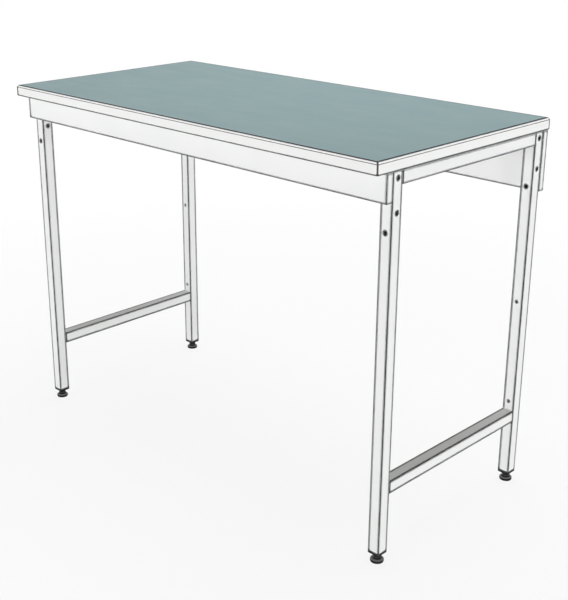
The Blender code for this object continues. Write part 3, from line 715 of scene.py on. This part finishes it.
def square_tube(name, low, high, along):
    """A tube along an axis, with round corners, open ends and a wall."""
    piece = block(name, low, high)
    bevel(piece, lambda edge: run(edge, along) > TINY, TUBE_CORNER, 6)
    shell(piece, lambda face: abs(face.normal[along]) > FLAT, TUBE_WALL)
    return piece


def drill(piece, holes):
    """Bores holes, each given by two points and a diameter, and takes the burr off their rims."""
    carve(piece, join([rod(*hole) for hole in holes], "drill_bits"))

    def at_hole(edge):
        if len(edge.link_faces) != 2 or edge.calc_face_angle() < RIM_ANGLE:
            return False
        middle = (edge.verts[0].co + edge.verts[1].co) / 2
        for start, end, diameter in holes:
            axis = (Vector(end) - Vector(start)).normalized()
            offset = middle - Vector(start)
            if abs((offset - axis * offset.dot(axis)).length - diameter / 2) < HOLE_EASE / 2:
                return True
        return False

    return bevel(piece, at_hole, HOLE_EASE, 1)


# %% Legs
BOLT_HOLE = 0.0080  # diameters
PANEL_HOLE = 0.0045
FRONT_BOLT_HOLE = 0.0066
SIDE_HOLE_HEIGHTS = (0.8577, 0.7877)
PANEL_HOLE_HEIGHTS = (0.2160, 0.4710)
APRON_HOLE_HEIGHT = 0.7477
FRONT_BOLT_HEIGHT = 0.8267
REAR_BOLT_HEIGHT = 0.8577
DRILL_PAST = 0.0020  # how far a drill goes past a face
DRILL_STOP = 0.0080  # from the middle of the leg, for a hole in one wall only


def leg_holes(low, high, is_front):
    """The holes of a leg that fills this box."""
    x, y, _ = halfway(low, high)
    left, right = low.x - DRILL_PAST, high.x + DRILL_PAST
    front, back = low.y - DRILL_PAST, high.y + DRILL_PAST
    holes = [((left, y, z), (right, y, z), BOLT_HOLE) for z in SIDE_HOLE_HEIGHTS]
    holes.append(((x, front, APRON_HOLE_HEIGHT), (x, back, APRON_HOLE_HEIGHT), BOLT_HOLE))
    inner, inside = (back, y + DRILL_STOP) if is_front else (front, y - DRILL_STOP)
    holes += [((x, inside, z), (x, inner, z), PANEL_HOLE) for z in PANEL_HOLE_HEIGHTS]
    if is_front:
        holes.append(((x, front, FRONT_BOLT_HEIGHT), (x, back, FRONT_BOLT_HEIGHT), FRONT_BOLT_HOLE))
    else:
        holes.append(((x, y + DRILL_STOP, REAR_BOLT_HEIGHT), (x, back, REAR_BOLT_HEIGHT), BOLT_HOLE))
    return holes


for end in ("front", "rear"):
    low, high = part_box("leg_" + end + "_right")
    leg = square_tube("leg_tube_" + end + "_right", low, high, 2)
    rims = drill(leg, leg_holes(low, high, end == "front"))
    smooth(leg)
    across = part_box("leg_" + end + "_left")[0].x - low.x
    other = copy_of(leg, "leg_tube_" + end + "_left", (across, 0.0, 0.0))
    for hand, piece in (("right", leg), ("left", other)):
        dress(piece, leg_coat, "pale_powder_coat", "bench", "leg_" + end + "_" + hand)
    print(end, "leg:", len(leg.data.polygons), "faces,", rims, "rim edges eased")

# %% [markdown]
# ## Side rails
# Two rails of the same tube join the legs of each side frame. The upper one is drilled from below, so
# that a screwdriver reaches the screws that hold the worktop. They are made as the legs are, along Y.

# %% Side rails
DRIVER_HOLE = 0.0120
SCREW_HOLE = 0.0051
RAIL_DRILL_DEPTH = 0.0080

low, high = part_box("lower_rail_right")
lower = square_tube("lower_rail_tube_right", low, high, 1)
smooth(lower)
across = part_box("lower_rail_left")[0].x - low.x
lower_left = copy_of(lower, "lower_rail_tube_left", (across, 0.0, 0.0))
low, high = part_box("upper_rail_right")
upper = square_tube("upper_rail_tube_right", low, high, 1)
x, holes = halfway(low, high)[0], []
for name in ("worktop_screw_right_front", "worktop_screw_right_rear"):
    y = halfway(*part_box(name))[1]
    holes.append(((x, y, low.z - DRILL_PAST), (x, y, low.z + RAIL_DRILL_DEPTH), DRIVER_HOLE))
    holes.append(((x, y, high.z - RAIL_DRILL_DEPTH), (x, y, high.z + DRILL_PAST), SCREW_HOLE))
rims = drill(upper, holes)
smooth(upper)
upper_left = copy_of(upper, "upper_rail_tube_left", (across, 0.0, 0.0))
for piece, finish in ((lower, rail_coat), (lower_left, rail_coat), (upper, coat), (upper_left, coat)):
    dress(piece, finish, "pale_powder_coat", "bench", piece.name.replace("_tube", ""))
print("rails:", round(high.y - low.y, 4), "m long,", rims, "rim edges eased")

# %% [markdown]
# ## Welds
# The rails are welded to the legs. A weld is a row of small pools that froze one after another, so each
# bead is a row of overlapping balls, run together by a voxel remesh. A smooth rod would be quicker, but the
# ripple is what tells a weld from a bead of filler. One bead is modelled and copied to every joint.

# %% Welds
POOL_RADIUS = 0.0021
POOL_STEP = 0.0019
POOL_COUNT = 12
POOL_SIZES = (0.92, 1.0)  # by turns
POOL_VOXEL = 0.0004

pools = []
for index in range(POOL_COUNT):
    place = ((index - (POOL_COUNT - 1) / 2) * POOL_STEP, 0.0, 0.0)
    bpy.ops.mesh.primitive_uv_sphere_add(segments=16, ring_count=10, radius=POOL_RADIUS, location=place)
    pools.append(bpy.context.active_object)
    pools[-1].scale = (POOL_SIZES[index % 2],) * 3
    settle_in_mesh(pools[-1])
bead = join(pools, "weld_bead")
modify(bead, "REMESH", mode="VOXEL", voxel_size=POOL_VOXEL)
smooth(bead, 60.0)
bead_faces = len(bead.data.polygons)
for hand in ("left", "right"):
    for rail, sides in (("lower", ("under", "top")), ("upper", ("under",))):
        low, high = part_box(rail + "_rail_" + hand)
        for end, y in (("front", low.y), ("rear", high.y)):
            for side in sides:
                name = "_".join(("weld", rail, hand, end, side))
                height = high.z if side == "top" else low.z
                copy = copy_of(bead, name, (halfway(low, high)[0], y, height))
                dress(copy, weld_coat, "pale_powder_coat", "bench")
bpy.data.objects.remove(bead, do_unlink=True)
print("welds of", bead_faces, "faces each")

# %% [markdown]
# ## Aprons
# An apron is sheet steel folded into a long shallow pan, with a lip turned in round its open back. It could
# be folded edge by edge, but a pan is quicker from a block: its long edges are rounded to the bend
# radius, its back is inset by the lip and opened, and the shell that is left gets the sheet's thickness.
# The lip is wider at the ends of the front apron, where the bolts to the legs go through it.

# %% Aprons
SHEET = 0.0015
BEND = 0.0023
LIP = 0.0120
BOLTED_END_LIP = 0.0360
END_EDGE = 0.0008


def folded_pan(name, low, high, end_lip):
    """A pan that fills this box, with its open back towards +Y."""
    piece = block(name, low, high)
    bevel(piece, lambda edge: run(edge, 0) > TINY, BEND, 5)
    bevel(
        piece, lambda edge: sum(abs(face.normal.x) > FLAT for face in edge.link_faces) == 1, END_EDGE, 2
    )
    inset = {"thickness": LIP - BEND, "use_even_offset": True}
    edit(piece, "FACE", lambda face: face.normal.y > FLAT, bpy.ops.mesh.inset, **inset)
    reach = high.x - END_EDGE - LIP + BEND

    def at_opening(vertex):
        within = low.z + LIP - TINY < vertex.co.z < high.z - LIP + TINY
        return within and vertex.co.y > high.y - TINY and abs(vertex.co.x - side * reach) < TINY

    for side in (-1.0, 1.0):
        move = (side * (high.x - end_lip - reach), 0.0, 0.0)
        edit(piece, "VERT", at_opening, bpy.ops.transform.translate, value=move)

    def is_opening(face):
        middle = face.calc_center_median()
        central = abs(middle.x) < TINY and abs(middle.z - (low.z + high.z) / 2) < TINY
        return central and face.normal.y > FLAT

    shell(piece, is_opening, SHEET)
    smooth(piece)
    return piece


for node, end_lip, finish in (("front_apron", BOLTED_END_LIP, front_coat), ("rear_apron", LIP, rear_coat)):
    pan = folded_pan(node + "_pan", *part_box(node), end_lip)
    dress(pan, finish, "pale_powder_coat", "bench", node)
    print(pan.name, len(pan.data.polygons), "faces")

# %% [markdown]
# ## Turned pieces and the bolts
# A bolt head, a foot pad and a ball end are all round, so they are drawn as half an outline and spun. The
# outline is drawn as by hand: a plane is merged to one vertex, which is then extruded from point to point.
# The bolts have a button head with a hexagon socket, cut by a six-sided rod.


# %% Turned pieces
def draw(name, points):
    """Draws a line from point to point and leaves it open in edit mode."""
    bpy.ops.object.select_all(action="DESELECT")
    bpy.ops.mesh.primitive_plane_add(size=0.01)
    piece = bpy.context.active_object
    piece.name = name
    bpy.ops.object.mode_set(mode="EDIT")
    bpy.ops.mesh.select_mode(type="VERT")
    bpy.ops.mesh.select_all(action="SELECT")
    bpy.ops.mesh.merge(type="CENTER")
    bpy.ops.transform.translate(value=points[0])
    for here, after in zip(points, points[1:]):
        bpy.ops.mesh.extrude_vertices_move(TRANSFORM_OT_translate={"value": after - here})
    return piece


def close_up():
    """Welds the seams of the mesh in edit mode and turns its faces outwards."""
    bpy.ops.mesh.select_all(action="SELECT")
    bpy.ops.mesh.remove_doubles(threshold=1e-6)
    bpy.ops.mesh.normals_make_consistent(inside=False)
    done()


def turned(name, x, y, outline, steps):
    """Spins half an outline of (radius, height) points about an upright axis."""
    piece = draw(name, [Vector((x + radius, y, height)) for radius, height in outline])
    bpy.ops.mesh.select_all(action="SELECT")
    bpy.ops.mesh.spin(steps=steps, angle=2 * math.pi, center=(x, y, 0.0), axis=(0.0, 0.0, 1.0))
    close_up()
    return piece


# %% Bolts
HEAD_RADIUS = 0.00525
HEAD_HEIGHT = 0.0033
HEAD_FLAT = 0.0029  # radius of the flat round the socket
HEAD_EDGE = 0.0003
HEAD_EASE = 0.0002
SHANK_RADIUS = 0.0030
SHANK_POINT = 0.0005
HEX_SOCKET = 0.0046  # across the corners
HEX_SOCKET_DEEP = 0.0020


def button_bolt(name, length):
    """A bolt along Y, with its head towards +Y from Y = 0."""
    crown = []
    for step in range(10, -1, -1):
        angle = math.radians(9.0 * step)
        radius = HEAD_FLAT + (HEAD_RADIUS - HEAD_FLAT) * math.cos(angle)
        crown.append((radius, HEAD_EDGE + (HEAD_HEIGHT - HEAD_EDGE) * math.sin(angle)))
    outline = [(0.0, HEAD_HEIGHT), *crown, (HEAD_RADIUS - HEAD_EASE, 0.0), (SHANK_RADIUS, 0.0)]
    outline += [(SHANK_RADIUS, SHANK_POINT - length), (SHANK_RADIUS - SHANK_POINT, -length), (0.0, -length)]
    piece = turned(name, 0.0, 0.0, outline, 32)
    bottom, above = (0.0, 0.0, HEAD_HEIGHT - HEX_SOCKET_DEEP), (0.0, 0.0, 2 * HEAD_HEIGHT)
    carve(piece, rod(bottom, above, HEX_SOCKET, 6))
    piece.rotation_euler.x = -math.pi / 2
    settle_in_mesh(piece)
    smooth(piece)
    return piece


bolt_nodes = sorted(name for name in solids if "_apron_bolt_" in name)
for end in ("front", "rear"):
    mine = [name for name in bolt_nodes if name.startswith(end)]
    low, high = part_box(mine[0])
    pattern = button_bolt("bolt_pattern", high.y - low.y - HEAD_HEIGHT)
    for name in mine:
        low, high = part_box(name)
        x, _, z = halfway(low, high)
        bolt = copy_of(pattern, name.replace("_bolt_", "_button_bolt_"), (x, high.y - HEAD_HEIGHT, z))
        dress(bolt, zinc_finish, "zinc_plate", "bench", name)
    bpy.data.objects.remove(pattern, do_unlink=True)
print(len(bolt_nodes), "bolts")

# %% [markdown]
# ## Plugs
# A moulded plug closes the lower end of each leg and holds the nut of the foot. What shows is its flange,
# a plate as wide as the tube with a chamfer round its lower edge. It is a block with rounded corners,
# whose top is inset and pulled up into the sleeve inside the tube. The pocket of the nut is cut last. The
# four plugs are alike, so one is made at the front right and copied to the other corners.

# %% Plugs
FLANGE = 0.0050
FLANGE_CHAMFER = 0.0016
FLANGE_EASE = 0.0003
SLEEVE_IN = 0.0018
HEXAGON = 1.0 / math.cos(math.pi / 6)  # across the corners for each metre across the flats
NUT_POCKET = 0.0166  # across the flats
NUT_ROOF = 0.0297
STUD_BORE = 0.0104


def to_every_corner(first, node, finish, slot, body=None):
    """Copies a piece from the front right to the other corners, each on its own body or on the bench."""
    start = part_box(node + "front_right")[0]
    name = first.name.replace("front_right", "")
    for corner in ("front_left", "front_right", "rear_left", "rear_right"):
        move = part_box(node + corner)[0] - start
        piece = first if corner == "front_right" else copy_of(first, name + corner, move)
        dress(piece, finish, slot, body + corner if body else "bench", node + corner)


low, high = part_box("leg_plug_front_right")
shoulder = low.z + FLANGE
plug = block("leg_plug_moulding_front_right", low, (high.x, high.y, shoulder))
bevel(plug, lambda edge: run(edge, 2) > TINY, TUBE_CORNER, 6)
bevel(plug, lambda edge: all(vertex.co.z < low.z + TINY for vertex in edge.verts), FLANGE_CHAMFER, 1)
bevel(plug, lambda edge: all(vertex.co.z > shoulder - TINY for vertex in edge.verts), FLANGE_EASE, 1)


def pull_up_sleeve():
    """Insets the chosen face and pulls the inner part up."""
    bpy.ops.mesh.inset(thickness=SLEEVE_IN - FLANGE_EASE)
    bpy.ops.mesh.extrude_region_move(TRANSFORM_OT_translate={"value": (0.0, 0.0, high.z - low.z - FLANGE)})


edit(plug, "FACE", lambda face: face.normal.z > FLAT, pull_up_sleeve)
x, y, _ = halfway(low, high)
carve(plug, rod((x, y, 0.0), (x, y, NUT_ROOF), NUT_POCKET * HEXAGON, 6))
carve(plug, rod((x, y, 0.0), (x, y, 2 * high.z), STUD_BORE))
smooth(plug, 30.0)
to_every_corner(plug, "leg_plug_", plastic_finish, "black_plastic")
print("plugs of", len(plug.data.polygons), "faces")

# %% [markdown]
# ## Foot studs
# Each foot turns on a threaded stud, with a hexagon for a spanner and a ball that sits in the pad. A
# plain rod would do while the foot is screwed in, but the thread shows as soon as it is screwed out. The
# Screw modifier winds one tooth of the thread round the axis, and two bisecting planes cut its ends flat.

# %% Foot studs
THREAD_PITCH = 0.0015
THREAD_OUTER = 0.0049
THREAD_INNER = 0.0041
THREAD_FLANKS = (0.12, 0.47, 0.65)  # shares of the pitch: foot of the tooth, crest, end of the crest
HEX_FLATS = 0.0170
HEX_LOW, HEX_HIGH = 0.0128, 0.0201
HEX_EDGE = 0.0008
BALL_RADIUS, BALL_HEIGHT = 0.0050, 0.0075
NECK_RADIUS = 0.0031
NECK_SHORT = 0.0010  # of the thread, inside the hexagon


def ball_outline(radius, opening, steps):
    """Half the outline of a ball, from its lowest point up to where it is as narrow as its opening."""
    last = math.pi - math.asin(opening / radius)
    angles = [last * step / steps for step in range(steps + 1)]
    return [(radius * math.sin(angle), BALL_HEIGHT - radius * math.cos(angle)) for angle in angles]


low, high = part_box("foot_stud_front_right")
x, y, _ = halfway(low, high)
thread_low = (HEX_LOW + HEX_HIGH) / 2
shares = (0.0, *THREAD_FLANKS, 1.0)
radii = (THREAD_INNER, THREAD_INNER, THREAD_OUTER, THREAD_OUTER, THREAD_INNER)
tooth = [Vector((radius, 0.0, share * THREAD_PITCH)) for radius, share in zip(radii, shares)]
thread = draw("thread", tooth)
done()
turns = math.ceil((high.z - thread_low) / THREAD_PITCH) + 2
modify(
    thread, "SCREW", axis="Z", angle=2 * math.pi, screw_offset=THREAD_PITCH, iterations=turns,
    steps=24, render_steps=24, use_merge_vertices=True, merge_threshold=1e-6, use_normal_calculate=True,
)
thread.location = (x, y, thread_low - 1.5 * THREAD_PITCH)
settle_in_mesh(thread)
bpy.ops.object.mode_set(mode="EDIT")
close_up()
trim(thread, (x, y, high.z), (0.0, 0.0, 1.0))
trim(thread, (x, y, thread_low), (0.0, 0.0, -1.0))
stud = rod((x, y, HEX_LOW), (x, y, HEX_HIGH), HEX_FLATS * HEXAGON, 6)
stud.name = "foot_stud_threaded_front_right"
bevel(stud, lambda edge: run(edge, 2) < TINY, HEX_EDGE, 2)
neck_high = thread_low - NECK_SHORT
outline = [*ball_outline(BALL_RADIUS, NECK_RADIUS, 14), (NECK_RADIUS, neck_high), (0.0, neck_high)]
carve(stud, turned("ball_end", x, y, outline, 32), "UNION")
carve(stud, thread, "UNION")
smooth(stud, 40.0)
to_every_corner(stud, "foot_stud_", black_steel, "blackened_steel", "stud_")
print("studs with", turns, "turns of thread,", len(stud.data.polygons), "faces")

# %% [markdown]
# ## Foot pads
# The pad is a moulded disc with a collar that closes over the ball of the stud. Its edges are rounded as a
# mould leaves them, and its sole is hollowed so that it stands on a ring. It is spun in one piece, with
# the socket of the ball as part of the outline.

# %% Foot pads
PAD_RADIUS = 0.0150
COLLAR_RADIUS = 0.0100
MOUTH_RADIUS = 0.0034
SOCKET_RADIUS = 0.0053
SOLE = (
    (0.0, 0.0007), (0.0098, 0.0007), (0.0105, 0.0), (0.0138, 0.0), (0.0146, 0.0003), (PAD_RADIUS, 0.0011)
)
RIM = ((PAD_RADIUS, 0.0053), (0.0148, 0.0060), (0.0142, 0.0064), (0.0135, 0.0066))
SHOULDER = ((0.0112, 0.0076), (0.0104, 0.0082), (0.0101, 0.0089), (COLLAR_RADIUS, 0.0097))
COLLAR = ((COLLAR_RADIUS, 0.0116), (0.0097, 0.0122), (0.0090, 0.0125), (MOUTH_RADIUS, 0.0125))

x, y, _ = halfway(*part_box("foot_pad_front_right"))
socket = reversed(ball_outline(SOCKET_RADIUS, MOUTH_RADIUS, 12))
pad = turned("foot_pad_moulding_front_right", x, y, [*SOLE, *RIM, *SHOULDER, *COLLAR, *socket], 48)
smooth(pad, 40.0)
to_every_corner(pad, "foot_pad_", plastic_finish, "black_plastic", "pad_")
print("pads of", len(pad.data.polygons), "faces")

# %% [markdown]
# ## Floor and light
# The picture has a plain white ground. A floor could be lit until it is white, but then the pale bench
# would be too bright as well. So the floor is matt and pale, and for the camera it lets most of the white
# behind it through, which leaves just the soft shadow that shows the bench standing on it. The frame's
# upright faces are brighter than the worktop is, so the light comes from the sides more than from above:
# a sky that is bright at the horizon, four long low lamps round the bench, and one lamp over the worktop.

# %% Floor
FLOOR_REACH = 60.0
FLOOR_DROP = 0.0004
FLOOR_COLOUR = (0.92, 0.92, 0.92, 1.0)
FLOOR_WHITE = 0.86  # share of the white behind that the camera sees near the bench
FLOOR_FADE = (0.7, 2.4)  # how far out it goes over to all white


def seen_by(path):
    """Whether a light path sees a thing: straight, in a gloss or through glass."""
    seen = calc("MAXIMUM", path["Is Camera Ray"], path["Is Glossy Ray"])
    return calc("MAXIMUM", seen, path["Is Transmission Ray"])


def blend(share, first, second):
    """Mixes what two shader nodes give, and returns the mixing node."""
    return add("MixShader", {0: share, 1: first.outputs[0], 2: second.outputs[0]})


bpy.ops.mesh.primitive_plane_add(size=FLOOR_REACH, location=(0.0, 0.0, -FLOOR_DROP))
floor = bpy.context.active_object
floor.name = "studio_floor"
material = bpy.data.materials.new("studio_floor_white")
material.use_nodes = True
open_tree(material.node_tree)
tree.nodes.clear()
path = add("LightPath").outputs
far = calc_vector("LENGTH", add("TexCoord").outputs["Object"], output="Value")
white = remap(far, *FLOOR_FADE, FLOOR_WHITE, 1.0)
matt = add("BsdfDiffuse", {"Color": FLOOR_COLOUR})
clear = add("BsdfTransparent")
lit = blend(calc("MULTIPLY", seen_by(path), white), matt, clear)
backs = add("NewGeometry").outputs["Backfacing"]
surface = blend(calc("MULTIPLY", backs, path["Is Camera Ray"]), lit, clear)
add("OutputMaterial", {"Surface": surface.outputs[0]})
floor.data.materials.append(material)
print("floor", FLOOR_REACH, "m across")

# %% Sky and lamps
SKY_WHITE = (1.0, 1.0, 1.0, 1.0)
SKY_HORIZON = 0.70
SKY_ZENITH = 0.08

world = bpy.data.worlds.new("studio_sky")
bpy.context.scene.world = world
world.use_nodes = True
open_tree(world.node_tree)
tree.nodes.clear()
seen = seen_by(add("LightPath").outputs)
height = split(add("TexCoord").outputs["Generated"])[2]
level = remap(height, 0.0, 1.0, SKY_HORIZON, SKY_ZENITH)
lighting = add("Background", {"Color": SKY_WHITE, "Strength": level})
plain = add("Background", {"Color": SKY_WHITE, "Strength": 1.0})
add("OutputWorld", {"Surface": blend(seen, lighting, plain).outputs[0]})

LOW_LAMP = (4.0, 0.8)  # wide and high
LAMPS = {  # place, aim, size and power in watts
    "lamp_above": ((0.0, 0.4, 3.2), (0.0, 0.0, 0.9), (2.4, 2.0), 48.0),
    "lamp_front": ((-1.6, -6.5, 0.45), (0.0, 0.0, 0.5), LOW_LAMP, 214.0),
    "lamp_right": ((6.5, -0.9, 0.45), (0.0, 0.0, 0.5), LOW_LAMP, 182.0),
    "lamp_rear": ((1.4, 6.5, 0.45), (0.0, 0.0, 0.5), LOW_LAMP, 150.0),
    "lamp_left": ((-6.5, 0.7, 0.45), (0.0, 0.0, 0.5), LOW_LAMP, 150.0),
}
for name, (place, aim, (wide, high), power) in LAMPS.items():
    bpy.ops.object.light_add(type="AREA", location=place)
    lamp = bpy.context.active_object
    lamp.name = name
    lamp.rotation_euler = (Vector(aim) - Vector(place)).to_track_quat("-Z", "Y").to_euler()
    lamp.data.shape = "RECTANGLE"
    lamp.data.size = wide
    lamp.data.size_y = high
    lamp.data.energy = power
    lamp.visible_camera = False
    lamp.visible_glossy = False
print(len(LAMPS), "lamps and the sky")

# %% [markdown]
# ## Finish
# The colours are shown as they are, with Blender's Standard view.

# %% Show the colours as they are
bpy.context.scene.view_settings.view_transform = "Standard"
